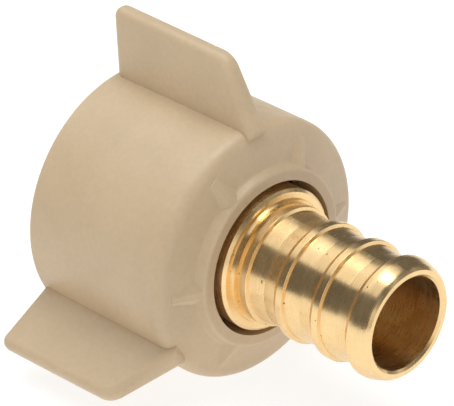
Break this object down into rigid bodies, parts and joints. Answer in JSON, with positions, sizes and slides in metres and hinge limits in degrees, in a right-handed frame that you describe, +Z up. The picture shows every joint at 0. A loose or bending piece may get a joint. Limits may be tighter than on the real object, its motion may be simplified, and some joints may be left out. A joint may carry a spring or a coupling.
{
  "type": "barbed swivel pipe adapter",
  "caption": "Brass barbed pipe stem turning loosely in a tan plastic winged nut with an internal thread and a flat rubber washer.",
  "frame": {"origin": "on the flow bore's axis, level with the front face of the nut's boss", "axes": "+X along the bore towards the barb's tip, +Z up through one wing"},
  "size_m": [0.0387, 0.037, 0.035],
  "materials": {
    "nut_plastic": "satin",
    "brass": "polished",
    "washer_rubber": "matte"
  },
  "bodies": {
    "stem": {"barb_stem": "brass"},
    "washer": {"sealing_washer": "washer_rubber"},
    "nut": {"swivel_nut": "nut_plastic"}
  },
  "joints": [
    {"name": "nut_float", "type": "slide", "parent": "stem", "child": "washer", "axis": [1, 0, 0], "range_m": [-0.0005, 0.0003]},
    {"name": "nut_swivel", "type": "hinge", "parent": "washer", "child": "nut", "pos_m": [0, 0, 0], "axis": [1, 0, 0], "continuous": true}
  ]
}
